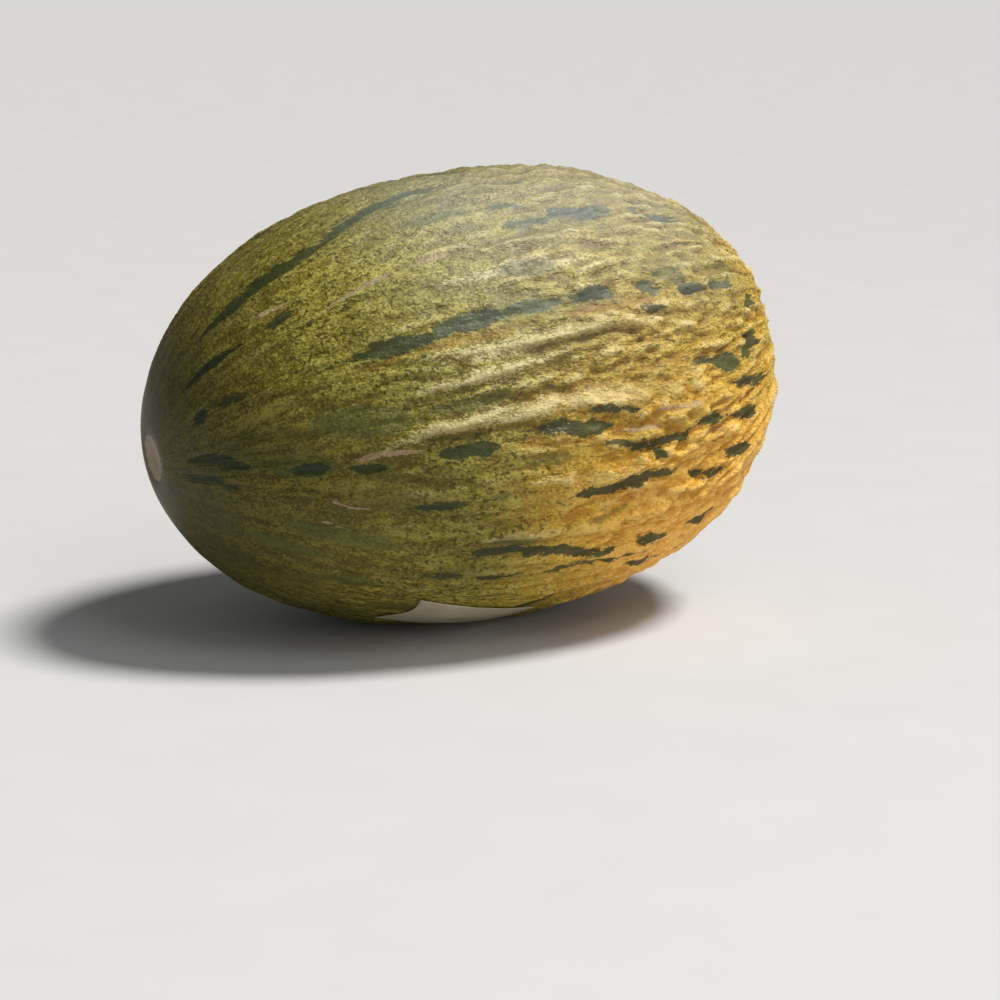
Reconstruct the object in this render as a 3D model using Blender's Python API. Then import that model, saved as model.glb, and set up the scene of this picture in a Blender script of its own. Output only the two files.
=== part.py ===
"""A whole toad-skin melon lying on its side, with a blank price label stuck low on one flank.

Frame: metres, +Z up, standing on z = 0, with the origin under the middle of its bounding box.
The long axis runs from the blossom scar at -X to the stem end at +X and lies in the XZ plane.
"""

import math

import bmesh
import bpy
from mathutils import Matrix, Vector

# The body, before it is tipped into its resting position.
LENGTH = 0.262
WIDTH = 0.180
TAPER = 0.041  # how much narrower the blossom half is than the stem half
END_FULLNESS = 0.065  # how much blunter than an ellipse both ends are
STEM_FULLNESS = 0.037  # how much more of that the stem end has, and less the blossom end
SPINE_BOW = 0.0041  # how far both ends curve up from a straight spine
SPINE_DROP = 0.3  # how much of that bow the spine's middle hangs below the axis
SPINE_TWIST = 0.0008  # how far the stem end rises, and the blossom end drops, on top of that
BACK_LEAN = 0.071  # fuller over the blossom half and under the stem half
BELLY_LEAN = 0.053  # fuller below, towards both ends
REST_TILT = math.radians(8.5)  # the narrow blossom end lies lower than the stem end

# Long, shallow ribs: how many go round, their height, their phase and how far they wander.
RIBS = (
    (5, 0.00045, 0.6, 0.5),
    (9, 0.00035, 2.1, -0.8),
    (14, 0.00030, 4.0, 1.1),
)
RIB_START = math.radians(6.6)  # the ribs begin this far from either end
RIB_FULL = math.radians(28.6)  # and have their whole height from here on

# The two ends: a flat, corky blossom scar, and a dimple round what is left of the stem.
SCAR_RADIUS = 0.0088
SCAR_DEPTH = 0.0012
SCAR_SLOPE = (0.55, 1.45)  # where its side starts and ends, as shares of its radius
STEM_DIMPLE_RADIUS = 0.0150
STEM_DIMPLE_DEPTH = 0.0022
STEM_STUB_RADIUS = 0.0042
STEM_STUB_HEIGHT = 0.0030
STEM_STUB_SLOPE = (0.75, 1.375)

FLAT_SPOT_DEPTH = 0.0006  # taken off the lowest point, where the melon presses on the table
SEGMENTS_ROUND = 96
SEGMENTS_ALONG = 48
POLE_CROWDING = 0.28  # how much closer together the rings are near the scar and the stem

# The label, seen from outside: its long side runs along the melon before it is turned.
LABEL_LENGTH = 0.054
LABEL_HEIGHT = 0.031
LABEL_THICKNESS = 0.0002
LABEL_GAP = 0.0003
LABEL_CORNER = 0.0010
LABEL_TURN = math.radians(-21)
LABEL_CORNER_ALONG = -0.050  # its top left corner, measured along the melon from its middle
LABEL_CORNER_AROUND = math.radians(-47)  # and round it from -Y; -90 degrees is underneath
LABEL_LIFT = 0.0020  # how far its lower left corner has come unstuck
LABEL_LIFT_SPAN = (0.75, 2.0)  # where that lift starts and is full, in half sides towards the corner
LABEL_CELLS = (18, 11)

# Each material's colour and roughness.
RIND = ((0.30, 0.27, 0.07), 0.45)
PAPER = ((0.62, 0.58, 0.52), 0.80)


def smooth_step(x, start, end):
    """0 on the start side, 1 on the end side, and a smooth S between them."""
    share = min(1.0, max(0.0, (x - start) / (end - start)))
    return share * share * (3 - 2 * share)


def rib_height(polar, around):
    """The ribs' own height, outwards."""
    fade = smooth_step(min(polar, math.pi - polar), RIB_START, RIB_FULL)
    waves = sum(
        height * math.cos(count * around + phase + wander * math.sin(2 * polar + phase))
        for count, height, phase, wander in RIBS
    )
    return fade * waves


def end_relief(polar, radius):
    """How far the skin is pushed in along the axis near the two ends, inwards positive."""
    if polar < math.pi / 2:
        side_start, side_end = SCAR_SLOPE
        return SCAR_DEPTH * smooth_step(radius / SCAR_RADIUS, side_end, side_start)
    dimple = STEM_DIMPLE_DEPTH * smooth_step(radius / STEM_DIMPLE_RADIUS, 1, 0)
    side_start, side_end = STEM_STUB_SLOPE
    stub = STEM_STUB_HEIGHT * smooth_step(radius / STEM_STUB_RADIUS, side_end, side_start)
    return dimple - stub


def skin_point(polar, around):
    """A point of the skin on the untipped melon.

    polar runs from 0 at the blossom scar to pi at the stem; around is 0 at +Y and pi/2 on top.
    """
    along = -math.cos(polar)
    outline = 1 + TAPER * along + END_FULLNESS * along**2 + STEM_FULLNESS * along**3
    lean = 1 - (BACK_LEAN * along + BELLY_LEAN * along**2) * math.sin(around)
    radius = WIDTH / 2 * math.sin(polar) * outline * lean + rib_height(polar, around)
    spine = SPINE_BOW * (along**2 - SPINE_DROP) + SPINE_TWIST * along**3
    inwards = end_relief(polar, WIDTH / 2 * math.sin(polar) * outline)
    return Vector(
        (
            LENGTH / 2 * along - math.copysign(inwards, along),
            radius * math.cos(around),
            radius * math.sin(around) + spine,
        )
    )


def skin_normal(polar, around, step=0.01):
    """The outward direction there."""
    down = skin_point(polar + step, around) - skin_point(polar - step, around)
    across = skin_point(polar, around + step) - skin_point(polar, around - step)
    normal = down.cross(across).normalized()
    middle = Vector((skin_point(polar, around).x, 0, 0))
    return normal if normal.dot(skin_point(polar, around) - middle) > 0 else -normal


def material(name, colour, roughness):
    """A plain Principled material."""
    made = bpy.data.materials.new(name)
    made.use_nodes = True
    shader = made.node_tree.nodes["Principled BSDF"]
    shader.inputs["Base Color"].default_value = (*colour, 1)
    shader.inputs["Roughness"].default_value = roughness
    shader.inputs["Metallic"].default_value = 0
    return made


def new_object(name, mesh_data, finish):
    made = bpy.data.objects.new(name, mesh_data)
    made.data.materials.append(finish)
    bpy.context.scene.collection.objects.link(made)
    return made


def melon_mesh():
    """A sphere with its poles on X, each of its points moved out to the skin, then tipped."""
    shape = bmesh.new()
    bmesh.ops.create_uvsphere(
        shape, u_segments=SEGMENTS_ROUND, v_segments=SEGMENTS_ALONG, radius=1
    )
    for point in shape.verts:
        evenly = math.acos(max(-1.0, min(1.0, -point.co.z)))
        polar = evenly - POLE_CROWDING * math.sin(2 * evenly)
        around = math.atan2(point.co.y, point.co.x)
        point.co = skin_point(polar, around)
    bmesh.ops.recalc_face_normals(shape, faces=shape.faces)
    shape.transform(Matrix.Rotation(-REST_TILT, 4, "Y"))
    return shape


def press_flat(shape):
    """Cuts the flat spot that the melon rests on, and returns its height."""
    height = min(point.co.z for point in shape.verts) + FLAT_SPOT_DEPTH
    cut = bmesh.ops.bisect_plane(
        shape,
        geom=[*shape.verts, *shape.edges, *shape.faces],
        plane_co=(0, 0, height),
        plane_no=(0, 0, -1),
        clear_outer=True,
    )
    rim = [item for item in cut["geom_cut"] if isinstance(item, bmesh.types.BMEdge)]
    bmesh.ops.contextual_create(shape, geom=rim)
    bmesh.ops.recalc_face_normals(shape, faces=shape.faces)
    return height


def label_outline(right, down):
    """Where a point of the flat label lies, from its middle, for shares of its half sides.

    The cells at the four corners are drawn in onto quarter circles.
    """
    x, y = right * LABEL_LENGTH / 2, -down * LABEL_HEIGHT / 2
    past_x = abs(x) - (LABEL_LENGTH / 2 - LABEL_CORNER)
    past_y = abs(y) - (LABEL_HEIGHT / 2 - LABEL_CORNER)
    if past_x > 0 and past_y > 0:
        shrink = max(past_x, past_y) / math.hypot(past_x, past_y)
        x = math.copysign(LABEL_LENGTH / 2 - LABEL_CORNER + past_x * shrink, x)
        y = math.copysign(LABEL_HEIGHT / 2 - LABEL_CORNER + past_y * shrink, y)
    return Vector((x, y))


def label_point(right, down):
    """A point on the label's glued side, which keeps a small gap to the skin."""
    from_corner = label_outline(right, down) - Vector((-LABEL_LENGTH, LABEL_HEIGHT)) / 2
    along, girth = Matrix.Rotation(LABEL_TURN, 2) @ from_corner
    polar = math.acos(-(LABEL_CORNER_ALONG + along) / (LENGTH / 2))
    around = math.pi - (LABEL_CORNER_AROUND + girth / (WIDTH / 2))
    lift = LABEL_LIFT * smooth_step(down - right, *LABEL_LIFT_SPAN)
    return skin_point(polar, around) + skin_normal(polar, around) * (LABEL_GAP + lift)


def label_mesh():
    """A sheet of square cells laid over the skin and tipped with the melon."""
    columns, rows = LABEL_CELLS
    shape = bmesh.new()
    grid = [
        [
            shape.verts.new(label_point(2 * column / columns - 1, 2 * row / rows - 1))
            for column in range(columns + 1)
        ]
        for row in range(rows + 1)
    ]
    for upper, lower in zip(grid, grid[1:]):
        for column in range(columns):
            corners = (upper[column], lower[column], lower[column + 1], upper[column + 1])
            shape.faces.new(corners)
    shape.transform(Matrix.Rotation(-REST_TILT, 4, "Y"))
    return shape


def to_mesh(name, shape):
    mesh_data = bpy.data.meshes.new(name)
    shape.to_mesh(mesh_data)
    shape.free()
    mesh_data.shade_smooth()
    return mesh_data


def main():
    for old in list(bpy.data.objects):
        bpy.data.objects.remove(old)

    melon_shape, label_shape = melon_mesh(), label_mesh()
    floor = press_flat(melon_shape)
    across = [point.co.x for point in melon_shape.verts]
    aside = [point.co.y for point in melon_shape.verts]
    middle = Vector((min(across) + max(across), min(aside) + max(aside), 2 * floor)) / 2
    for shape in (melon_shape, label_shape):
        shape.transform(Matrix.Translation(-middle))

    new_object("melon", to_mesh("melon", melon_shape), material("rind", *RIND))
    paper = material("paper", *PAPER)
    label = new_object("paper_label", to_mesh("paper_label", label_shape), paper)
    sheet = label.modifiers.new("sheet", "SOLIDIFY")
    sheet.thickness = LABEL_THICKNESS
    sheet.offset = 1


main()
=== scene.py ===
"""The looks of a whole toad-skin melon with a blank paper label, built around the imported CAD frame.

Metres, +Z up. A place on the rind is given along the melon's axis, from its middle towards the stem
end, and round it, as an angle up from the -Y side: 90 degrees is on top and -90 underneath. Marks on
the rind are written in millimetres and degrees.
"""

import math
import random
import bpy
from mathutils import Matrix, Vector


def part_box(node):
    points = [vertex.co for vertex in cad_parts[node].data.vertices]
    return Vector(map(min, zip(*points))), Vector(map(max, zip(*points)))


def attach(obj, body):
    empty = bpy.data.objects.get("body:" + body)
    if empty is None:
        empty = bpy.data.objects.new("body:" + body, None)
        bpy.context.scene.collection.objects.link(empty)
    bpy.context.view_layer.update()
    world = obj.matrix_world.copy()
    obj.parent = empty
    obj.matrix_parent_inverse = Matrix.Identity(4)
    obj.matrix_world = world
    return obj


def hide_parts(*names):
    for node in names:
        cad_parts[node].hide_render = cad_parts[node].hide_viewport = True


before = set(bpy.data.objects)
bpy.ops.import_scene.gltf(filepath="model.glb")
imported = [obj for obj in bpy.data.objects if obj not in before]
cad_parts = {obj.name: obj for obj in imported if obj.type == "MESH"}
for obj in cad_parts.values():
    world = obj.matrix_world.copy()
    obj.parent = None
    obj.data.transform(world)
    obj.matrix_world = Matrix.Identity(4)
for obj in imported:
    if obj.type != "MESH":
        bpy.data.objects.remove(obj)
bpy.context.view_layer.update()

from types import SimpleNamespace

import bpy
import numpy as np
from mathutils import Euler, Matrix, Vector, noise
from mathutils.bvhtree import BVHTree

LOW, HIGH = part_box("melon")
MIDDLE = (LOW + HIGH) / 2
HALF = (HIGH - LOW) / 2
FLOOR_Z = LOW.z
MM = 0.001

# How the melon lies, as in the CAD.
REST_TILT = math.radians(8.5)
SPINE_BOW = 0.0041
SPINE_DROP = 0.3  # how much of that bow hangs below the axis in the middle
SPINE_TWIST = 0.0008
HALF_LENGTH = 0.131
GIRTH_RADIUS = 0.090  # turns an angle round the melon into a length over its skin

# The fine mesh: a cube blown up to a sphere, so that neither end has a pinched pole.
CUBE_CELLS = 128
SMOOTHING_ROUNDS = 20  # these iron out the CAD skin's flat facets
BLUR_ROUNDS = 30  # and these find the skin's mean height round a point
BAKE_MARGIN = 0.012  # round each cube face in the UV map, as a share of the face

# Patterns by chance: height, length along the melon, width round it and where the noise starts.
SWELLS = (0.0013, 0.060, 0.0120, 0.0)
FOLDS = (0.0019, 0.030, 0.0062, 11.3)
LUMPS = (0.0014, 0.0075, 0.0036, 27.9)
WANDER = (0.0040, 0.045, 0.030, 3.1)  # how far the wrinkles stray sideways
BREAKS = (0.45, 0.020, 0.008, 41.0)  # how much the ridges' height comes and goes, as a share of it
NOISE_FALL = 0.9  # how fast the finer octaves weaken
NOISE_STEP = 2.1  # how much finer each octave is
FOLD_SHOULDER = 0.5263  # a fold has its whole height from this much noise on
RIDGE_MEAN = 0.75  # what the ridges' height comes and goes about
MARK_WANDER = 0.3  # how much of the wrinkles' straying the marks take part in

# Ridges that face the camera: height, width, then the places the crest runs through.
RIDGES = (
    (1.4, 10, (-70, 35), (-33, 35), (5, 36), (40, 35)),
    (2.0, 9, (-56, 27), (-33, 26), (-6, 24), (15, 25), (46, 23), (76, 18)),
    (1.6, 7, (-58, 19), (-36, 19), (-16, 19), (9, 20), (43, 17)),
    (2.4, 10, (-66, 6), (-42, 9), (-20, 8), (4, 8), (29, 6), (70, 2)),
    (1.5, 7, (-4, -11), (21, -13), (38, -14)),
    (1.2, 7, (-60, -7), (-31, -8), (-6, -10)),
    (0.8, 8, (-60, 55), (-20, 53), (20, 50), (60, 46)),
    (1.2, 8, (-40, -22), (0, -24), (20, -27)),
)

# Dark streaks that face the camera: width, then the places they run through.
STREAKS = (
    (5.0, (-69, 32), (-50, 32), (-30, 32)),
    (6.4, (-40, 32), (-19, 33), (-6, 33)),
    (4.2, (-14, 33), (4, 33), (22, 33)),
    (6.4, (17, 33), (30, 33), (41, 32)),
    (4.0, (8, 57), (34, 58)),
    (8.0, (24, 59), (45, 59), (60, 60)),
    (3.0, (11, 79), (29, 74)),
    (3.0, (6, 65), (23, 63)),
    (7.0, (-112, 69), (-105, 71), (-89, 71), (-72, 71), (-50, 73)),
    (6.0, (-62, 72), (-36, 78), (-18, 81), (4, 82)),
    (5.5, (-90, 54), (-78, 55)),
    (2.6, (-119, 56), (-107, 55), (-97, 54)),
    (4.5, (-111, 55), (-103, 54)),
    (2.6, (-113, 35), (-101, 34)),
    (4.5, (-120, 36), (-115, 35)),
    (5.0, (-124, 15), (-114, 10), (-108, 6)),
    (3.4, (-127, 1), (-120, 0), (-110, -4)),
    (5.5, (-95, 4), (-82, 3)),
    (5.0, (-77, 2), (-64, 1)),
    (4.0, (66, 61), (79, 58), (92, 59)),
    (6.0, (49, 32), (61, 31)),
    (5.5, (68, 30), (82, 29)),
    (4.4, (84, 30), (97, 30)),
    (3.6, (45, 27), (57, 26)),
    (6.4, (76, 7), (91, 4)),
    (3.4, (60, 9), (80, 7)),
    (6.0, (94, 5), (109, 10)),
    (4.2, (81, 0), (97, -5), (111, -10)),
    (3.2, (103, 20), (111, 25)),
    (3.2, (16, 5), (24, 4), (37, 2)),
    (5.5, (-12, 4), (3, 3), (15, 1), (28, -1)),
    (4.0, (19, -3), (40, -8), (49, -8), (57, -9), (61, -7)),
    (4.0, (41, -10), (46, -12)),
    (4.2, (61, -6), (79, -9)),
    (5.0, (84, -11), (99, -17)),
    (4.2, (78, -21), (93, -27)),
    (4.2, (58, -20), (68, -25), (80, -27)),
    (5.4, (4, -15), (17, -16), (28, -16), (38, -16), (54, -18)),
    (3.4, (60, -40), (76, -42)),
    (3.6, (35, -37), (50, -39)),
    (5.0, (0, -29), (10, -34), (19, -36), (27, -36)),
    (3.2, (-6, -39), (3, -39), (21, -40), (42, -43)),
    (3.2, (-14, -59), (8, -53), (30, -56)),
    (3.0, (34, -46), (52, -50), (66, -52)),
    (5.8, (-46, 3), (-35, 2), (-22, 2)),
    (3.6, (-33, 6), (-27, 6)),
    (3.8, (-60, -12), (-46, -12), (-35, -12)),
    (5.0, (-36, -27), (-16, -28), (5, -31)),
    (3.2, (-55, -34), (-37, -35)),
    (3.4, (-32, -36), (-12, -38)),
)

# Fainter, softer green smudges, and two darker pools of painted shade, written the same way.
SMUDGES_AND_SHADE = (
    (8.0, (-4, 44), (19, 42)),
    (8.0, (-103, 6), (-92, 4), (-78, 3)),
    (2.4, (11, -24), (22, -24), (29, -23)),
    (4.0, (-16, -4), (-3, -4), (8, -5)),
    (6.0, (-29, -24), (-7, -26)),
    (8.0, (-99, -18), (-81, -20), (-60, -24)),
    (5.5, (-98, -44), (-80, -39), (-62, -40)),
    (3.4, (-29, -11), (-19, -11)),
    (3.0, (-30, -47), (-17, -46)),
    (7.0, (58, 36), (74, 33)),
    (6.0, (-110, -28), (-84, -30)),
    (7.0, (-70, -55), (-40, -52)),
    # These two are painted shade: darker pools low on the front of the blossom half, under its
    # ridges.
    (12.0, (-86, 18), (-70, 15), (-50, 12)),
    (5.0, (-46, 14), (-30, 13), (-12, 14)),
    (6.0, (-30, 66), (0, 64)),
)

# Tan, corky cracks, written the same way.
CRACKS = (
    (2.0, (41, 1), (56, -1), (67, -2)),
    (1.8, (26, -2), (39, -3), (48, -4)),
    (1.5, (64, -10), (82, -14)),
    (2.6, (-77, 4), (-65, 5), (-49, 4)),
    (1.7, (-85, -6), (-78, -10), (-67, -12)),
    (1.3, (-88, -15), (-77, -19)),
    (1.9, (-95, 60), (-78, 58)),
    (2.6, (-69, 49), (-54, 50), (-39, 52)),
    (2.6, (-36, 52), (-17, 52)),
)

# Orange-brown lines of painted shade under the longest streaks' lower edges, written the same way.
SHADE_LINES = (
    (3.4, (-66, 28), (-38, 29), (-10, 29), (8, 30)),
    (3.0, (18, 29), (40, 29), (58, 28)),
    (3.0, (-14, 1), (6, 0), (24, -3)),
)

# The palest crests, painted light where they catch the lamps over their own paler flecks, written the
# same way.
LIT_CRESTS = (
    (7.0, (-64, 6), (-40, 9), (-20, 9), (4, 9), (29, 7), (72, 1)),
    (6.0, (-40, 26), (-6, 24), (15, 25), (36, 24)),
    (4.0, (-46, 19), (-16, 19), (6, 20)),
    (2.8, (-6, -9), (21, -12), (36, -13)),
    (4.0, (-30, 44), (10, 44), (36, 42)),
    (4.0, (30, -20), (44, -23), (58, -26)),
)

# The same for the rest of the melon, by chance: how many, their lengths and widths, and a seed.
HIDDEN_RIDGES = (10, (60, 120), (7, 10), 4)
HIDDEN_STREAKS = (62, (10, 62), (2.4, 8), 5)
HIDDEN_SMUDGES = (18, (20, 50), (4, 8), 6)
HIDDEN_CRACKS = (12, (10, 30), (1.4, 2.6), 8)
HIDDEN_SHADE_LINES = (6, (40, 70), (4, 5), 9)
HIDDEN_LIT_CRESTS = (12, (40, 90), (4, 7), 10)
HIDDEN_RIDGE_HEIGHT = 1.2
HIDDEN_ANGLES = (98, 292)  # they lie between these angles round the melon
HIDDEN_ENDS = (-118, 112)  # and between these places along it
HIDDEN_SHORTEST = 0.4  # the shortest of them, as a share of its drawn length
HIDDEN_BEND = 3  # how far their middles stray to either side, in degrees for each bend length
HIDDEN_BEND_LENGTH = 60
HIDDEN_DRIFT = (-3, 5)  # how far round the melon they end from where they start, in degrees

MARKS = {
    "streak": (STREAKS, HIDDEN_STREAKS),
    "smudge": (SMUDGES_AND_SHADE, HIDDEN_SMUDGES),
    "cork": (CRACKS, HIDDEN_CRACKS),
    "rust": (SHADE_LINES, HIDDEN_SHADE_LINES),
    "light": (LIT_CRESTS, HIDDEN_LIT_CRESTS),
}
MARK_REACH = 0.008  # how far from its edge a mark's distance is worth knowing
MARK_SLACK = math.radians(40)  # and how far round the melon from it, at the most
MARK_BLUNTNESS = 3  # the higher, the nearer to its ends a mark keeps its width
RIDGE_END = 0.75  # a ridge starts to sink this far from its middle to its end

SCAR_RADIUS = 0.0092
SCAR_RECESS = 0.0010
SCAR_SLOPE = (1.4615, 0.6923)  # where its side starts and ends, in its radii
SCAR_ASIDE = (0.0012, 0.0026)  # the scar's middle from the melon's axis: towards +Y, and up
STREAK_DIP = 0.0004
STREAK_EDGE = 0.0006  # the dip starts and ends this far from the streak's edge

# The dry stub at the stem end, in its dimple.
STUB_RADIUS = 0.0046
STUB_HEIGHT = 0.0022
STUB_SLOPE = (1.35, 0.75)
DIMPLE_RADIUS = 0.0150
DIMPLE_DEPTH = 0.0016
FAR_AWAY = 9.0  # the distance from the scar or the stub, in its radii, over the melon's other half

LABEL_LENGTH = 0.054
LABEL_HEIGHT = 0.031
LABEL_TURN = math.radians(-21)
LABEL_CORNER_ALONG = -0.050
LABEL_CORNER_AROUND = math.radians(-47)
LABEL_THICKNESS = 0.00018
LABEL_GAP = 0.0005
LABEL_CREASE = (0.52, 0.10)  # where it crosses the left and right edge, as a share of the height
LABEL_BULGE = 0.0009
LABEL_NICK = 0.0030
LABEL_NICK_END = 0.8  # how far down the left edge the nick reaches, as a share of the height
LABEL_CELLS = (54, 31)
# The rind is flat under the label, in an ellipse whose half axes are shares of the label's sides.
LABEL_FLAT = (0.62, 0.75)
LABEL_FLAT_EDGE = (1.40, 1.10)  # in those half axes: outside the first nothing is flattened

CAMERA_AZIMUTH = math.radians(-24)
CAMERA_ELEVATION = math.radians(13)
CAMERA_DISTANCE = 1.20
CAMERA_ASIDE = 0.0159  # the melon lies this far left of the picture's middle
CAMERA_BELOW = 0.0418  # and this far above it
CAMERA_LENS = 108

# Lights: where they shine from, as seen from the melon, and their strength and colour.
SUN_FROM = (0.43, -0.20, 0.88)
SUN_STRENGTH = 3.8
SUN_SOFTNESS = math.radians(14)
WARM_WHITE = (1.0, 0.99, 0.97)
COOL_WHITE = (0.96, 0.98, 1.0)
SOFT_BOXES = (  # name, direction, distance, size, watts and colour
    ("right_fill", (0.50, -0.84, 0.10), 1.5, 1.1, 7, WARM_WHITE),
    ("overhead", (0.12, -0.60, 0.78), 1.6, 0.7, 3.5, COOL_WHITE),
)
WORLD_COLOUR = (0.97, 0.98, 1.0)
WORLD_STRENGTH = 0.165
FLOOR_RADIUS = 12.0
FLOOR_SIDES = 96


# ---------------------------------------------------------------- shape

def rise(x, start, end):
    """0 on the start side, 1 on the end side, and a smooth S between them."""
    x = np.clip((x - start) / (end - start), 0, 1)
    return x * x * (3 - 2 * x)


def half_turn(angle):
    """The same angle between -180 and 180 degrees."""
    return (angle + math.pi) % (2 * math.pi) - math.pi


def cube_sphere(cells):
    """Unit directions, quads, and the quads before the faces' shared edges were joined."""
    angles = np.linspace(-math.pi / 4, math.pi / 4, cells + 1)
    across, up = np.meshgrid(np.tan(angles), np.tan(angles), indexing="ij")
    ones = np.ones_like(across)
    sides = []
    for axis in range(3):
        for sign in (1, -1):
            side = [None, None, None]
            side[axis] = sign * ones
            side[(axis + 1) % 3] = across * sign
            side[(axis + 2) % 3] = up
            sides.append(np.stack(side, -1).reshape(-1, 3))
    points = np.concatenate(sides)
    points /= np.linalg.norm(points, axis=1, keepdims=True)
    _, first, shared = np.unique(
        np.round(points, 6), axis=0, return_index=True, return_inverse=True
    )
    row = np.arange(cells)
    corner = (row[:, None] * (cells + 1) + row[None, :]).reshape(-1)
    quad = np.stack([corner, corner + cells + 1, corner + cells + 2, corner + 1], 1)
    quads = np.concatenate([quad + side * (cells + 1) ** 2 for side in range(6)])
    return points[first], shared.reshape(-1)[quads], quads


def neighbours(quads, count):
    """Each point's neighbours along the edges, as rows padded with one of them."""
    ends = np.concatenate([quads[:, [i, (i + 1) % 4]] for i in range(4)])
    ends = np.unique(np.concatenate([ends, ends[:, ::-1]]), axis=0)
    start = np.searchsorted(ends[:, 0], np.arange(count))
    total = np.bincount(ends[:, 0], minlength=count)
    place = np.minimum(np.arange(4)[None, :], total[:, None] - 1) + start[:, None]
    return ends[place, 1]


def skin_tree(name):
    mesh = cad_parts[name].data
    return BVHTree.FromPolygons(
        [v.co for v in mesh.vertices], [tuple(p.vertices) for p in mesh.polygons]
    )


def cad_radius(directions):
    """How far the CAD melon's skin is from its middle in each direction."""
    tree = skin_tree("melon")
    return np.array([tree.ray_cast(MIDDLE, Vector(d))[3] for d in directions])


def spine_height(share):
    """How high the melon's bowed spine lies over its straight axis."""
    return SPINE_BOW * (share**2 - SPINE_DROP) + SPINE_TWIST * share**3


def melon_places(points):
    """Each point's place along the melon, sideways from its axis and up from it."""
    cos, sin = math.cos(REST_TILT), math.sin(REST_TILT)
    x, y, z = (points - np.array(MIDDLE)).T
    along = cos * x + sin * z
    share = np.clip(along / HALF_LENGTH, -1, 1)
    return along, y, cos * z - sin * x - spine_height(share)


def wrapped(along, around):
    """Points whose distances are lengths over the skin, for patterns that run along it."""
    return np.stack(
        [along, GIRTH_RADIUS * np.cos(around), GIRTH_RADIUS * np.sin(around)], 1
    )


def run_of_noise(skin, pattern, octaves=2):
    """Smooth noise, about -1 to 1, drawn out along the melon to the pattern's length and width."""
    _, length, width, start = pattern
    offset = Vector((start, start * 1.7, -start))
    scaled = skin / np.array((length, width, width))
    return np.array(
        [noise.fractal(Vector(p) + offset, NOISE_FALL, NOISE_STEP, octaves) for p in scaled]
    )


def nearest_on_run(along, around, off_axis, stops):
    """Each point's distance from the line through the stops, and its share of the way along it."""
    stops = [(a * MM, math.radians(r)) for a, r in stops]
    lengths = [
        math.hypot(b[0] - a[0], (b[1] - a[1]) * GIRTH_RADIUS) for a, b in zip(stops, stops[1:])
    ]
    closest = np.full(len(along), np.inf)
    share = np.zeros(len(along))
    before = 0.0
    for (a, b), length in zip(zip(stops, stops[1:]), lengths):
        forward, aside = along - a[0], half_turn(around - a[1]) * off_axis
        run, climb = b[0] - a[0], (b[1] - a[1]) * off_axis
        t = np.clip((forward * run + aside * climb) / (run**2 + climb**2), 0, 1)
        distance = np.hypot(forward - t * run, aside - t * climb)
        closer = distance < closest
        closest = np.where(closer, distance, closest)
        share = np.where(closer, (before + t * length) / sum(lengths), share)
        before += length
    return closest, share


def near_run(along, around, stops, reach):
    """Which points are close enough to a mark to be touched by it."""
    places = [a * MM for a, _ in stops]
    angles = [math.radians(r) for _, r in stops]
    middle, spread = (max(angles) + min(angles)) / 2, (max(angles) - min(angles)) / 2
    inside = (along > min(places) - reach) & (along < max(places) + reach)
    slack = spread + MARK_SLACK
    return np.flatnonzero(inside & (np.abs(half_turn(around - middle)) < slack))


def mark_field(along, around, off_axis, marks):
    """How far inside the nearest mark a point is; negative outside. Marks narrow to both ends."""
    best = np.full(len(along), -MARK_REACH)
    for width, *stops in marks:
        near = near_run(along, around, stops, MARK_REACH + width * MM)
        distance, share = nearest_on_run(along[near], around[near], off_axis[near], stops)
        half_width = width * MM / 2 * (1 - np.abs(2 * share - 1) ** MARK_BLUNTNESS)
        best[near] = np.maximum(best[near], half_width - distance)
    return best


def ridge_field(along, around, off_axis, ridges):
    """The height of the listed ridges, rounded across and sinking away at both ends."""
    total = np.zeros(len(along))
    for height, width, *stops in ridges:
        near = near_run(along, around, stops, width * MM)
        distance, share = nearest_on_run(along[near], around[near], off_axis[near], stops)
        across = rise(distance, width * MM / 2, 0)
        ends = rise(np.abs(2 * share - 1), 1, RIDGE_END)
        total[near] = np.maximum(total[near], height * MM * across * ends)
    return total


def chance_runs(count, lengths, widths, seed):
    """Marks for the sides that the camera doesn't see, drawn by chance but the same each run."""
    draw = random.Random(seed)
    first, last = HIDDEN_ENDS
    runs = []
    for _ in range(count):
        length = draw.uniform(*lengths) * draw.uniform(HIDDEN_SHORTEST, 1)
        start = draw.uniform(first, last - length)
        angle = draw.uniform(*HIDDEN_ANGLES)
        bend = draw.uniform(-HIDDEN_BEND, HIDDEN_BEND) * length / HIDDEN_BEND_LENGTH
        drift = draw.uniform(*HIDDEN_DRIFT)
        middle = (start + length / 2, angle + drift / 2 + bend)
        runs.append((draw.uniform(*widths), (start, angle), middle, (start + length, angle + drift)))
    return runs


def rind_marks(along, around, off_axis):
    """How far inside each kind of mark every point is."""
    return {
        name: mark_field(along, around, off_axis, (*seen, *chance_runs(*hidden)))
        for name, (seen, hidden) in MARKS.items()
    }


def new_mesh(name, points, faces):
    mesh = bpy.data.meshes.new(name)
    mesh.vertices.add(len(points))
    mesh.vertices.foreach_set("co", np.asarray(points, np.float32).ravel())
    corners = faces.shape[1]
    mesh.loops.add(faces.size)
    mesh.loops.foreach_set("vertex_index", np.asarray(faces, np.int32).ravel())
    mesh.polygons.add(len(faces))
    mesh.polygons.foreach_set("loop_start", np.arange(0, faces.size, corners, dtype=np.int32))
    mesh.update(calc_edges=True)
    mesh.shade_smooth()
    made = bpy.data.objects.new(name, mesh)
    bpy.context.scene.collection.objects.link(made)
    return made


def add_field(obj, name, values):
    """Stores one number, or one vector, for each point."""
    kind = "FLOAT_VECTOR" if values.ndim == 2 else "FLOAT"
    field = obj.data.attributes.new(name, kind, "POINT")
    where = "vector" if values.ndim == 2 else "value"
    field.data.foreach_set(where, np.asarray(values, np.float32).ravel())


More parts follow.
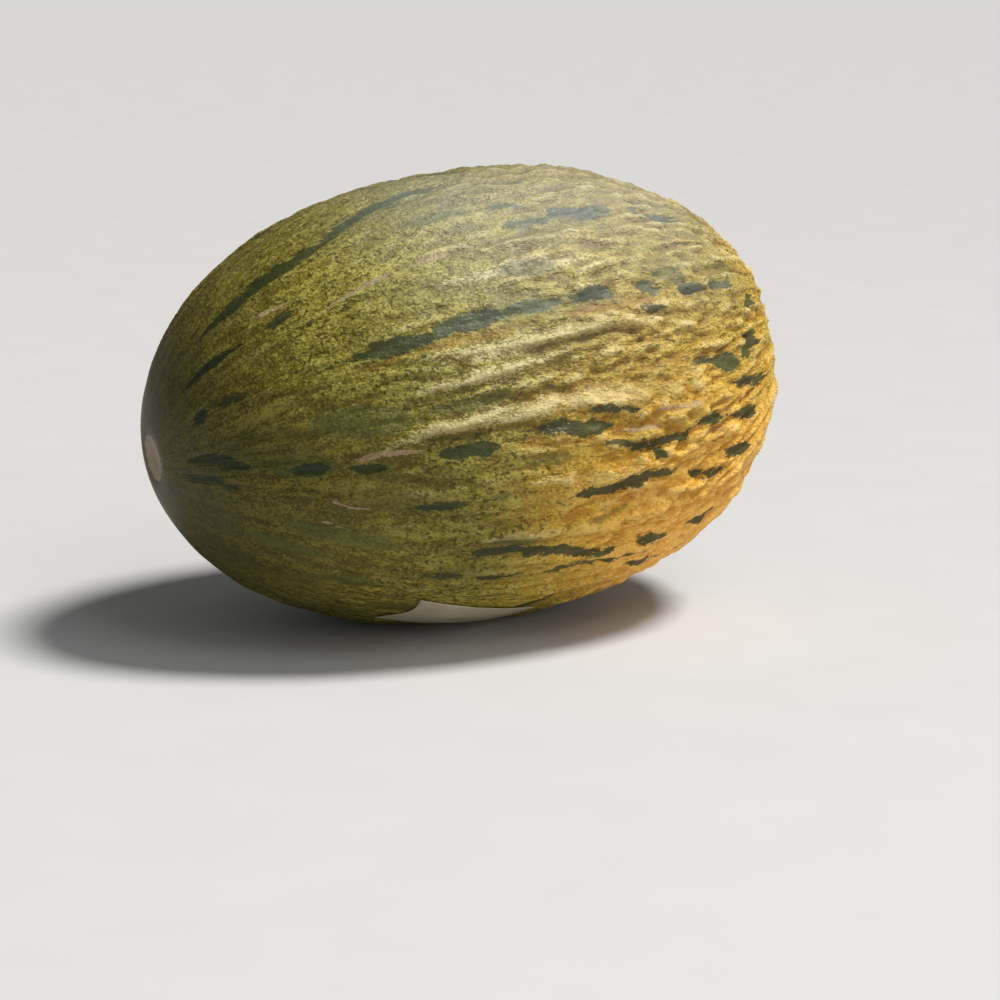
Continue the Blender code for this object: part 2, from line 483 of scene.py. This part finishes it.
def add_bake_map(obj, unshared, cells):
    """A UV map with the six cube faces side by side, three across and two up."""
    face, corner = np.divmod(unshared, (cells + 1) ** 2)
    across, up = np.divmod(corner, cells + 1)
    column, row = face % 3, face // 3
    u = (column + BAKE_MARGIN + (1 - 2 * BAKE_MARGIN) * across / cells) / 3
    v = (row + BAKE_MARGIN + (1 - 2 * BAKE_MARGIN) * up / cells) / 2
    layer = obj.data.uv_layers.new(name="OFBake")
    layer.data.foreach_set("uv", np.stack([u, v], -1).astype(np.float32).ravel())


def bell(angle, middle, spread):
    """1 at the middle angle, falling to nothing away from it; both in degrees."""
    return np.exp(-((half_turn(angle - math.radians(middle)) / np.radians(spread)) ** 2))


def gold_share(share, around):
    """0 where the rind is green, 1 in the golden patch that lay towards the ground."""
    spread = 38 + 200 * rise(share, 0.74, 1.00)
    patch = rise(share, -0.30, 0.15) * bell(around, -28, spread)
    patch *= 1 - 0.55 * rise(share, 0.45, 0.85)
    return np.clip(patch + 0.22 * rise(share, -0.1, 0.5), 0, 1)


def blush_share(share, around):
    """The warm orange, smoother part low on the golden patch."""
    return rise(share, 0.02, 0.42) * bell(around, -48, 34) * rise(share, 0.98, 0.70)


def ripeness_and_light_share(share, around):
    """How light the green ground is: 0 towards the blossom end, 1 from the middle on, with painted
    light round the melon.
    """
    # Round the melon: lighter on the upper side as painted light, darker low on the front towards the
    # blossom end as painted shade, and lighter underneath.
    sides = 0.40 + 0.60 * bell(around, 45, 48) + 0.55 * bell(around, -62, 25)
    sides = sides - 0.25 * bell(around, 8, 24) * rise(share, -0.20, -0.50)
    return rise(share, -1.05, -0.25) * np.clip(sides, 0, 1)


def painted_sheen_share(share, around):
    """A painted whitish sheen on the upper side, where the lamps' broad highlight falls."""
    return rise(share, -0.55, 0.05) * rise(share, 1.05, 0.55) * bell(around, 68, 38)


def grey_share(share, around):
    """0 over most of the melon, 1 on the smooth grey-green skin round the blossom scar."""
    ring = rise(share, -0.76, -0.96)
    side = rise(share, -0.40, -0.85) * bell(around, -48, 34)
    return np.clip(ring + 0.6 * side, 0, 1)


def folded_share(share, around):
    """How strongly the rind is folded: less towards the blossom end, and a little less on top."""
    return (0.45 + 0.55 * rise(share, -0.40, 0.20)) * (1 - 0.30 * bell(around, 75, 40))


def lumpy_share(share, around, gold):
    """How lumpy it is between the folds: most where it is golden, least underneath."""
    lengthwise = 0.30 + 0.70 * rise(share, -0.1, 0.4)
    return lengthwise * (1 + 0.6 * gold) * (1 - 0.7 * bell(around, -78, 28))


def under_label(along, around):
    """1 where the label covers the rind, which lies flat beneath it."""
    middle_along, middle_around = label_place(0.5, 0.5)
    forward = along - middle_along
    aside = half_turn(around - middle_around) * GIRTH_RADIUS
    cos, sin = math.cos(LABEL_TURN), math.sin(LABEL_TURN)
    right, up = cos * forward + sin * aside, cos * aside - sin * forward
    flat_right, flat_up = LABEL_FLAT
    distance = np.hypot(right / (flat_right * LABEL_LENGTH), up / (flat_up * LABEL_HEIGHT))
    return rise(distance, *LABEL_FLAT_EDGE)


def uneven_share(along, around, grey):
    """0 where the rind is smooth: at both ends, round the scar and under the label."""
    off_the_ends = rise(np.abs(along / HALF_LENGTH), 1.0, 0.9)
    return (1 - 0.85 * grey) * off_the_ends * (1 - 0.9 * under_label(along, around))


def wrinkles(along, around, off_axis, skin, gold, grey):
    """How far the swells, folds, lumps and ridges stand out from the smooth skin."""
    share = along / HALF_LENGTH
    swells = SWELLS[0] * run_of_noise(skin, SWELLS)
    folds = FOLDS[0] * (rise(np.abs(run_of_noise(skin, FOLDS)), 0, FOLD_SHOULDER) - 0.5)
    lumps = LUMPS[0] * run_of_noise(skin, LUMPS)
    hidden_ridges = [(HIDDEN_RIDGE_HEIGHT, *run) for run in chance_runs(*HIDDEN_RIDGES)]
    ridges = ridge_field(along, around, off_axis, (*RIDGES, *hidden_ridges))
    ridges *= RIDGE_MEAN + BREAKS[0] * run_of_noise(skin, BREAKS, 1)
    relief = folded_share(share, around) * (swells + folds * (1 - 0.40 * gold))
    relief += lumpy_share(share, around, gold) * lumps + ridges
    return uneven_share(along, around, grey) * relief


def stand_out(relief, near):
    """How far each point stands out from the skin a few millimetres round it."""
    smoothed = relief
    for _ in range(BLUR_ROUNDS):
        smoothed = (smoothed + smoothed[near].mean(1)) / 2
    return relief - smoothed


def slope_up(relief, points, near, around):
    """How steeply the relief rises towards the top of the melon: positive on the undersides."""
    cos, sin = math.cos(REST_TILT), math.sin(REST_TILT)
    climb, turn = np.cos(around), np.sin(around)
    uphill = np.stack([-sin * climb, turn, cos * climb], 1)
    steps = ((points[near] - points[:, None]) * uphill[:, None]).sum(2)
    rises = relief[near] - relief[:, None]
    slope = (rises * steps).sum(1) / (steps**2).sum(1)
    return (slope + slope[near].mean(1)) / 2


def from_ends(share, sideways, up):
    """Each point's distance from the scar's middle and from the stub's, in their own radii."""
    scar = np.hypot(sideways - SCAR_ASIDE[0], up - SCAR_ASIDE[1]) / SCAR_RADIUS
    stub = np.hypot(sideways, up) / STUB_RADIUS
    return np.where(share < 0, scar, FAR_AWAY), np.where(share > 0, stub, FAR_AWAY)


def end_relief(scar, stub):
    """The scar's hollow, and the stub in its dimple."""
    hollow = SCAR_RECESS * rise(scar, *SCAR_SLOPE)
    dimple = DIMPLE_DEPTH * rise(stub * STUB_RADIUS, DIMPLE_RADIUS, 0)
    return STUB_HEIGHT * rise(stub, *STUB_SLOPE) - dimple - hollow


def smooth_radii(directions, near):
    """The CAD melon's radii with its flat facets ironed out."""
    radius = cad_radius(directions)
    for _ in range(SMOOTHING_ROUNDS):
        radius = (radius + radius[near].mean(1)) / 2
    return radius


def make_melon():
    """The smooth skin, moved in and out by its wrinkles, with what the material needs to know."""
    directions, quads, unshared = cube_sphere(CUBE_CELLS)
    directions = directions * np.array(HALF)
    directions /= np.linalg.norm(directions, axis=1, keepdims=True)
    near = neighbours(quads, len(directions))
    smooth = np.array(MIDDLE) + directions * smooth_radii(directions, near)[:, None]

    along, sideways, up = melon_places(smooth)
    around, off_axis = np.arctan2(up, -sideways), np.hypot(up, sideways)
    share = along / HALF_LENGTH
    stray = WANDER[0] / GIRTH_RADIUS * run_of_noise(wrapped(along, around), WANDER)
    skin = wrapped(along, around + stray)
    fields = {
        "gold": gold_share(share, around),
        "blush": blush_share(share, around),
        "ripe": ripeness_and_light_share(share, around),
        "grey": grey_share(share, around),
        "bloom": painted_sheen_share(share, around),
    }
    relief = wrinkles(along, around, off_axis, skin, fields["gold"], fields["grey"])
    fields["crest"] = stand_out(relief, near) / MM
    fields["underside"] = slope_up(relief, smooth, near, around)
    fields["scar"], fields["stub"] = from_ends(share, sideways, up)
    marks = rind_marks(along, around + MARK_WANDER * stray, off_axis)
    fields.update((name, inside / MM) for name, inside in marks.items())
    relief -= STREAK_DIP * rise(marks["streak"], -STREAK_EDGE, STREAK_EDGE)
    relief += end_relief(fields["scar"], fields["stub"])

    points = smooth + directions * relief[:, None]
    points[:, 2] = np.maximum(points[:, 2], FLOOR_Z)
    melon = new_mesh("melon_rind", points, quads)
    add_bake_map(melon, unshared, CUBE_CELLS)
    add_field(melon, "skin", skin)
    for name, values in fields.items():
        add_field(melon, name, values)
    return melon


# ---------------------------------------------------------------- label

def to_world(along, around, off_axis):
    """The point at that place along, round and off the melon's axis."""
    up = off_axis * math.sin(around) + spine_height(along / HALF_LENGTH)
    local = Vector((along, -off_axis * math.cos(around), up))
    return MIDDLE + Matrix.Rotation(-REST_TILT, 3, "Y") @ local


def label_place(across, down):
    """Where on the melon a point of the label lies, along it and round it."""
    nick = LABEL_NICK * math.sin(math.pi * min(down / LABEL_NICK_END, 1)) * (1 - across) ** 3
    x, y = LABEL_LENGTH * across + nick, -LABEL_HEIGHT * down
    along = LABEL_CORNER_ALONG + x * math.cos(LABEL_TURN) - y * math.sin(LABEL_TURN)
    girth = x * math.sin(LABEL_TURN) + y * math.cos(LABEL_TURN)
    return along, LABEL_CORNER_AROUND + girth / GIRTH_RADIUS


def label_bulge(across, down):
    """How far the paper stands off the skin: most along its crease, nothing at its four edges."""
    left, right = LABEL_CREASE
    crease = left + (right - left) * across
    rise_to_crease = down / crease if down < crease else (1 - down) / (1 - crease)
    return LABEL_BULGE * rise_to_crease * math.sin(math.pi * across)


def label_point(tree, across, down):
    """A point of the paper, a small gap off the CAD melon's skin."""
    along, around = label_place(across, down)
    axis_point = to_world(along, around, 0)
    outwards = (to_world(along, around, 1) - axis_point).normalized()
    hit, _, _, _ = tree.ray_cast(axis_point, outwards)
    return hit + outwards * (LABEL_GAP + label_bulge(across, down))


def make_label():
    """A thin, creased sheet laid over the melon, with a nick in its left edge."""
    tree = skin_tree("melon")
    columns, rows = LABEL_CELLS
    points = [
        label_point(tree, column / columns, row / rows)
        for row in range(rows + 1)
        for column in range(columns + 1)
    ]
    row, column = np.divmod(np.arange(rows * columns), columns)
    corner = row * (columns + 1) + column
    faces = np.stack([corner, corner + columns + 1, corner + columns + 2, corner + 1], 1)
    label = new_mesh("price_label", np.array(points), faces)
    sheet = label.modifiers.new("thickness", "SOLIDIFY")
    sheet.thickness = LABEL_THICKNESS
    sheet.offset = 1
    return label


# ---------------------------------------------------------------- materials

# Colours in linear RGB. The rind's ground comes in threes: unripe, ripe and golden.
GROUND = ((0.048, 0.040, 0.003), (0.185, 0.150, 0.014), (0.550, 0.295, 0.022))
FLECKS = ((0.140, 0.118, 0.010), (0.445, 0.390, 0.070), (0.790, 0.485, 0.078))
TINT = ((0.060, 0.060, 0.010), (0.165, 0.150, 0.022), (0.400, 0.270, 0.032))
# Crest colours: partly the crests' own paler flecks, partly painted light where the crests catch the
# lamps.
CREST_PALE_AND_LIT = ((0.220, 0.190, 0.050), (0.700, 0.590, 0.310), (0.960, 0.720, 0.260))

# The rest of the rind comes in pairs, darker and lighter, or alone.
BLUSH = ((0.760, 0.345, 0.046), (0.960, 0.545, 0.105))
GREY_SKIN = ((0.052, 0.046, 0.008), (0.095, 0.082, 0.016))
STREAK = ((0.026, 0.036, 0.008), (0.055, 0.068, 0.017))
SCAR = ((0.250, 0.185, 0.105), (0.340, 0.260, 0.155))
STUB = ((0.150, 0.100, 0.050), (0.300, 0.215, 0.120))
UNRIPE_STREAK = (0.016, 0.024, 0.006)
# The smudges' green, also used for the pools of painted shade.
SMUDGE_AND_SHADE = (0.075, 0.086, 0.018)
SPOT = (0.055, 0.044, 0.004)
# The colour of the painted shade lines under the streaks.
SHADE_LINE = (0.380, 0.200, 0.022)
CORK = (0.390, 0.280, 0.160)
SCAR_RIM = (0.060, 0.050, 0.026)
STUB_RING = (0.120, 0.085, 0.030)
# A painted highlight: the whitish sheen over the upper side.
PAINTED_SHEEN = (0.450, 0.485, 0.455)

# Painted shade: the hollows, and the undersides of the folds, are darkened by these.
PAINTED_SHADE_IN_HOLLOWS = (0.66, 0.48, 0.24)
PAINTED_SHADE_ON_UNDERSIDES = (0.50, 0.38, 0.14)

# The paper's off-white greyed by painted shade, as the label lies low in the melon's shade; the two
# differ by stains.
SHADED_PAPER = ((0.480, 0.420, 0.300), (0.400, 0.340, 0.230))
PAPER_FIBRE = (0.56, 0.50, 0.38)
FLOOR = ((0.565, 0.562, 0.555), (0.575, 0.572, 0.565))

# How far each bump pattern rises, and how strongly they all show.
CREASE_BUMP = 0.0026
PEEL_BUMP = 0.0016
GRAIN_BUMP = 0.0006
RIND_BUMP_STRENGTH = 0.75
CORK_BUMP = (0.0004, 0.6)
FIBRE_BUMP = (0.0001, 0.5)
RIND_SPECULAR = 0.22
FLOOR_SPECULAR = 0.1
FLOOR_ROUGHNESS = 0.9


class Shader:
    """A material's nodes, with short calls for the ones that are used over and over."""

    def __init__(self, name):
        self.material = bpy.data.materials.new(name)
        self.material.use_nodes = True
        self.tree = self.material.node_tree
        self.surface = self.tree.nodes["Principled BSDF"]

    def node(self, kind, inputs=(), **settings):
        made = self.tree.nodes.new(kind)
        for key, value in settings.items():
            setattr(made, key, value)
        for socket, value in dict(inputs).items():
            self.feed(made.inputs[socket], value)
        return made

    def feed(self, socket, value):
        if isinstance(value, bpy.types.NodeSocket):
            self.tree.links.new(value, socket)
        else:
            socket.default_value = value

    def feed_colour(self, socket, value):
        self.feed(socket, value if isinstance(value, bpy.types.NodeSocket) else (*value, 1))

    def field(self, name, output="Fac"):
        return self.node("ShaderNodeAttribute", attribute_name=name).outputs[output]

    def place(self):
        """Object coordinates, which are metres here."""
        return self.node("ShaderNodeTexCoord").outputs["Object"]

    def math(self, operation, a, b, c=0.0):
        made = self.node("ShaderNodeMath", operation=operation)
        for socket, value in zip(made.inputs, (a, b, c)):
            self.feed(socket, value)
        return made.outputs[0]

    def times(self, a, b):
        return self.math("MULTIPLY", a, b)

    def larger(self, a, b):
        return self.math("MAXIMUM", a, b)

    def less(self, share):
        """1 - share"""
        return self.math("SUBTRACT", 1.0, share)

    def centred(self, pattern):
        """A noise shifted down by a half, so that its middle is zero."""
        return self.math("SUBTRACT", pattern, 0.5)

    def plus(self, base, extra, times):
        """base + extra x times"""
        return self.math("MULTIPLY_ADD", extra, times, base)

    def ramp(self, value, low, high, to_low=0.0, to_high=1.0):
        """value taken from low..high to to_low..to_high, smoothly and without going past."""
        made = self.node("ShaderNodeMapRange", interpolation_type="SMOOTHSTEP")
        for socket, number in zip(made.inputs, (value, low, high, to_low, to_high)):
            self.feed(socket, number)
        return made.outputs[0]

    def mix(self, share, a, b, blend="MIX"):
        """a where share is 0, b where it is 1; each is a socket or a colour."""
        made = self.node("ShaderNodeMix", data_type="RGBA", blend_type=blend)
        self.feed(made.inputs[0], share)
        self.feed_colour(made.inputs[6], a)
        self.feed_colour(made.inputs[7], b)
        return made.outputs[2]

    def stretched(self, vector, scale, rotation=(0, 0, 0)):
        return self.node(
            "ShaderNodeMapping", {"Vector": vector, "Scale": scale, "Rotation": rotation}
        ).outputs[0]

    def drawn_out(self, skin, share):
        """The skin's coordinates for a pattern that is 1 / share times as long as it is wide."""
        return self.stretched(skin, (share, 1, 1))

    def noise(self, vector, scale, detail, roughness, distortion=0.0):
        return self.node(
            "ShaderNodeTexNoise",
            {
                "Vector": vector,
                "Scale": scale,
                "Detail": detail,
                "Roughness": roughness,
                "Distortion": distortion,
            },
        ).outputs["Fac"]

    def bump(self, height, distance, strength, under=None):
        inputs = {"Height": height, "Distance": distance, "Strength": strength}
        if under is not None:
            inputs["Normal"] = under
        return self.node("ShaderNodeBump", inputs).outputs[0]


def rind_patterns(s):
    """The melon's stored fields, the noises, and where the marks and both ends show."""
    fields = ("gold", "blush", "ripe", "grey", "bloom", "crest", "underside", "scar", "stub", *MARKS)
    p = SimpleNamespace(**{name: s.field(name) for name in fields})
    p.skin = s.field("skin", "Vector")
    p.flat = s.stretched(s.place(), (0.66, 1, 1), (0, -REST_TILT, 0))  # tipped with the melon

    p.grain = s.noise(p.flat, 1100, 2.0, 0.60)
    p.clump = s.noise(p.flat, 270, 2.0, 0.55)
    p.pit = s.noise(p.flat, 540, 1.0, 0.5, 0.3)
    p.drift = s.noise(s.drawn_out(p.skin, 0.28), 150, 3.0, 0.6)
    p.patch = s.noise(s.drawn_out(p.skin, 0.30), 60, 3.0, 0.6)

    # Flecks of about a millimetre lie thickest on the crests.
    lean = s.plus(p.grain, s.centred(p.clump), 0.50)
    lean = s.plus(lean, s.centred(p.drift), 0.50)
    p.lean = s.plus(lean, p.crest, 0.12)
    p.pale = s.ramp(p.lean, 0.35, 0.68)
    # Painted light along the listed lit crests.
    p.palest = s.ramp(s.plus(p.light, s.centred(p.lean), 9.0), -1.5, 2.0)

    # The edges of marks are torn by noise: coarse steps first, then fine teeth.
    p.tear = s.centred(s.noise(s.drawn_out(p.skin, 0.5), 400, 4.0, 0.80))
    ragged = s.centred(s.noise(s.drawn_out(p.skin, 0.4), 150, 1.0, 0.5))
    p.in_streak = s.ramp(s.plus(s.plus(p.streak, p.tear, 8.5), ragged, 5.5), -0.45, 0.45)
    p.in_smudge = s.ramp(s.plus(p.smudge, p.tear, 6.0), -1.2, 1.2, 0, 0.60)
    p.in_cork = s.ramp(s.plus(p.cork, p.tear, 4.2), -0.10, 0.40)
    p.in_rust = s.ramp(s.plus(p.rust, s.centred(p.drift), 9.0), -1.8, 1.4, 0, 0.45)
    p.scar_edge = s.plus(p.scar, s.centred(p.patch), 0.4)
    p.in_scar = s.ramp(p.scar_edge, 1.06, 0.94)
    p.stub_edge = s.plus(p.stub, s.centred(p.clump), 0.8)
    p.in_stub = s.ramp(p.stub_edge, 1.25, 0.95)
    return p


def by_ripeness_and_light(s, p, colours):
    unripe, ripe, golden = colours
    return s.mix(p.gold, s.mix(p.ripe, unripe, ripe), golden)


def ground_colour(s, p):
    """The mottled ground: flecks on a darker green or gold, paler on the crests from their own flecks
    and from painted light.
    """
    unripe_crest, ripe_crest, golden_crest = CREST_PALE_AND_LIT
    lit_crest_colour = s.mix(p.ripe, unripe_crest, s.mix(p.gold, ripe_crest, golden_crest))
    # Painted light over the crests' paler flecks: the more a crest stands out, or lies on a listed
    # lit crest, the lighter it is painted.
    pale_and_lit_share = s.times(s.ramp(p.crest, 0.15, 1.10), 0.70)
    pale_and_lit_share = s.larger(pale_and_lit_share, s.times(p.palest, 0.80))
    flecks = s.mix(pale_and_lit_share, by_ripeness_and_light(s, p, FLECKS), lit_crest_colour)
    colour = s.mix(p.pale, by_ripeness_and_light(s, p, GROUND), flecks)
    colour = s.mix(s.times(p.palest, 0.35), colour, lit_crest_colour)
    colour = s.mix(s.ramp(p.patch, 0.46, 0.66, 0, 0.50), colour, by_ripeness_and_light(s, p, TINT))
    return s.mix(s.times(p.blush, 0.85), colour, s.mix(p.pale, *BLUSH))


def dark_dots(s, p):
    """Where the small dark dots show: not on unripe skin, and fewer where it is gold, under the
    painted sheen and on the lit crests.
    """
    dots = s.times(s.ramp(p.pit, 0.560, 0.650), s.ramp(p.ripe, 0.10, 0.55))
    for cleaner, strength in ((p.gold, 0.50), (p.bloom, 0.60), (p.palest, 0.80)):
        dots = s.times(dots, s.less(s.times(cleaner, strength)))
    return s.times(s.times(dots, 0.85), s.less(p.blush))


def shaded_colour(s, p, colour):
    """The ground with its dots, painted shade lines under the streaks, and painted shade in the
    hollows and on undersides.
    """
    colour = s.mix(dark_dots(s, p), colour, SPOT)
    # Painted shade: an orange-brown line under the streaks' lower edges.
    colour = s.mix(p.in_rust, colour, SHADE_LINE)
    # Painted shade in the hollows between the folds.
    hollow_shade = s.ramp(p.crest, -0.9, -0.05, 0.50, 0.0)
    colour = s.mix(hollow_shade, colour, PAINTED_SHADE_IN_HOLLOWS, "MULTIPLY")
    # Painted shade on the folds' undersides, which also warms them to their own browner tone.
    underside_shade = s.ramp(p.underside, 0.10, 0.55, 0.0, 0.45)
    colour = s.mix(underside_shade, colour, PAINTED_SHADE_ON_UNDERSIDES, "MULTIPLY")
    grey_skin = s.mix(s.ramp(p.lean, 0.38, 0.66), *GREY_SKIN)
    return s.mix(s.times(p.grey, 0.85), colour, grey_skin)


def marked_colour(s, p, colour):
    """The same with its smudges and pools of painted shade, streaks and cracks."""
    dark_green = s.mix(s.ramp(p.drift, 0.35, 0.65), *STREAK)
    dark_green = s.mix(p.ripe, UNRIPE_STREAK, dark_green)
    colour = s.mix(p.in_smudge, colour, SMUDGE_AND_SHADE)
    colour = s.mix(s.times(p.in_streak, 0.93), colour, dark_green)
    return s.mix(s.times(p.in_cork, 0.70), colour, CORK)


def ends_colour(s, p, colour):
    """The same with the blossom scar in its dark rim, and the dry stub in its brown ring."""
    grainy = s.ramp(p.grain, 0.35, 0.65)
    colour = s.mix(s.ramp(p.scar_edge, 1.45, 1.02, 0, 0.5), colour, SCAR_RIM)
    colour = s.mix(p.in_scar, colour, s.mix(grainy, *SCAR))
    colour = s.mix(s.ramp(p.stub_edge, 2.6, 1.1, 0, 0.6), colour, STUB_RING)
    return s.mix(p.in_stub, colour, s.mix(grainy, *STUB))


def rind_bumps(s, p):
    """Creases along the melon, peel and grain, weaker where the skin is smoother."""
    smoother = s.larger(s.times(p.in_streak, 0.5), s.larger(p.in_scar, p.grey))
    depth = s.less(s.times(smoother, 0.8))
    creases = s.noise(s.drawn_out(p.skin, 0.26), 260, 3.0, 0.55)
    peel = s.noise(p.flat, 420, 2.0, 0.55)
    normal = None
    for pattern, distance in ((creases, CREASE_BUMP), (peel, PEEL_BUMP), (p.grain, GRAIN_BUMP)):
        height = s.times(s.centred(pattern), depth)
        normal = s.bump(height, distance, RIND_BUMP_STRENGTH, normal)
    return s.bump(p.in_cork, *CORK_BUMP, normal)


def rind_material():
    s = Shader("melon_rind")
    p = rind_patterns(s)
    colour = shaded_colour(s, p, ground_colour(s, p))
    colour = ends_colour(s, p, marked_colour(s, p, colour))
    # Painted highlight: a whitish sheen over the upper side.
    colour = s.mix(s.times(p.bloom, 0.32), colour, PAINTED_SHEEN)
    s.feed(s.surface.inputs["Base Color"], colour)
    s.feed(s.surface.inputs["Roughness"], s.ramp(p.lean, 0.40, 0.70, 0.44, 0.51))
    s.feed(s.surface.inputs["Normal"], rind_bumps(s, p))
    s.surface.inputs["Specular IOR Level"].default_value = RIND_SPECULAR
    return s.material


def paper_material():
    s = Shader("label_paper")
    place = s.place()
    fibre = s.noise(place, 900, 3.0, 0.6)
    stain = s.noise(place, 60, 2.0, 0.5)
    colour = s.mix(s.ramp(stain, 0.35, 0.70), *SHADED_PAPER)
    colour = s.mix(s.ramp(fibre, 0.4, 0.7, 0, 0.2), colour, PAPER_FIBRE)
    s.feed(s.surface.inputs["Base Color"], colour)
    s.feed(s.surface.inputs["Roughness"], s.ramp(fibre, 0.3, 0.7, 0.62, 0.78))
    s.feed(s.surface.inputs["Normal"], s.bump(fibre, *FIBRE_BUMP))
    return s.material


def floor_material():
    s = Shader("pale_floor")
    shade = s.noise(s.place(), 25.0, 2.0, 0.5)
    s.feed(s.surface.inputs["Base Color"], s.mix(s.ramp(shade, 0.3, 0.7), *FLOOR))
    s.surface.inputs["Roughness"].default_value = FLOOR_ROUGHNESS
    s.surface.inputs["Specular IOR Level"].default_value = FLOOR_SPECULAR
    return s.material


# ---------------------------------------------------------------- stage

def make_floor():
    """A large round floor, wide enough to fill the picture."""
    turns = np.linspace(0, 2 * math.pi, FLOOR_SIDES, endpoint=False)
    rim = FLOOR_RADIUS * np.stack([np.cos(turns), np.sin(turns), 0 * turns], 1)
    floor = new_mesh("floor", rim + (0, 0, FLOOR_Z), np.arange(FLOOR_SIDES)[None, :])
    floor.data.materials.append(floor_material())


def aimed(source, target):
    """The rotation that points a lamp at source towards target."""
    return (Vector(target) - Vector(source)).to_track_quat("-Z", "Y").to_euler()


def make_sun():
    sun = bpy.data.lights.new("key", "SUN")
    sun.energy = SUN_STRENGTH
    sun.angle = SUN_SOFTNESS
    sun.color = WARM_WHITE
    sun_object = bpy.data.objects.new("key", sun)
    sun_object.rotation_euler = aimed(SUN_FROM, (0, 0, 0))
    bpy.context.scene.collection.objects.link(sun_object)


def make_soft_box(name, direction, distance, size, energy, colour):
    lamp = bpy.data.lights.new(name, "AREA")
    lamp.size = size
    lamp.energy = energy
    lamp.color = colour
    box = bpy.data.objects.new(name, lamp)
    box.location = MIDDLE + Vector(direction).normalized() * distance
    box.rotation_euler = aimed(box.location, MIDDLE)
    bpy.context.scene.collection.objects.link(box)


def make_world():
    world = bpy.data.worlds.new("studio")
    world.use_nodes = True
    backdrop = world.node_tree.nodes["Background"]
    backdrop.inputs["Color"].default_value = (*WORLD_COLOUR, 1)
    backdrop.inputs["Strength"].default_value = WORLD_STRENGTH
    bpy.context.scene.world = world


def make_camera():
    camera = bpy.data.objects.new("camera", bpy.data.cameras.new("camera"))
    camera.data.lens = CAMERA_LENS
    turn = Euler((math.pi / 2 - CAMERA_ELEVATION, 0, CAMERA_AZIMUTH))
    offset = Vector((CAMERA_ASIDE, -CAMERA_BELOW, CAMERA_DISTANCE))
    camera.location = MIDDLE + turn.to_matrix() @ offset
    camera.rotation_euler = turn
    bpy.context.scene.collection.objects.link(camera)
    bpy.context.scene.camera = camera


def main():
    make_camera()
    melon = make_melon()
    melon.data.materials.append(rind_material())
    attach(melon, "root")
    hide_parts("melon")

    label = make_label()
    label.data.materials.append(paper_material())
    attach(label, "root")
    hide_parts("paper_label")

    make_floor()
    make_sun()
    for soft_box in SOFT_BOXES:
        make_soft_box(*soft_box)
    make_world()
    bpy.context.scene.view_settings.view_transform = "Standard"


main()
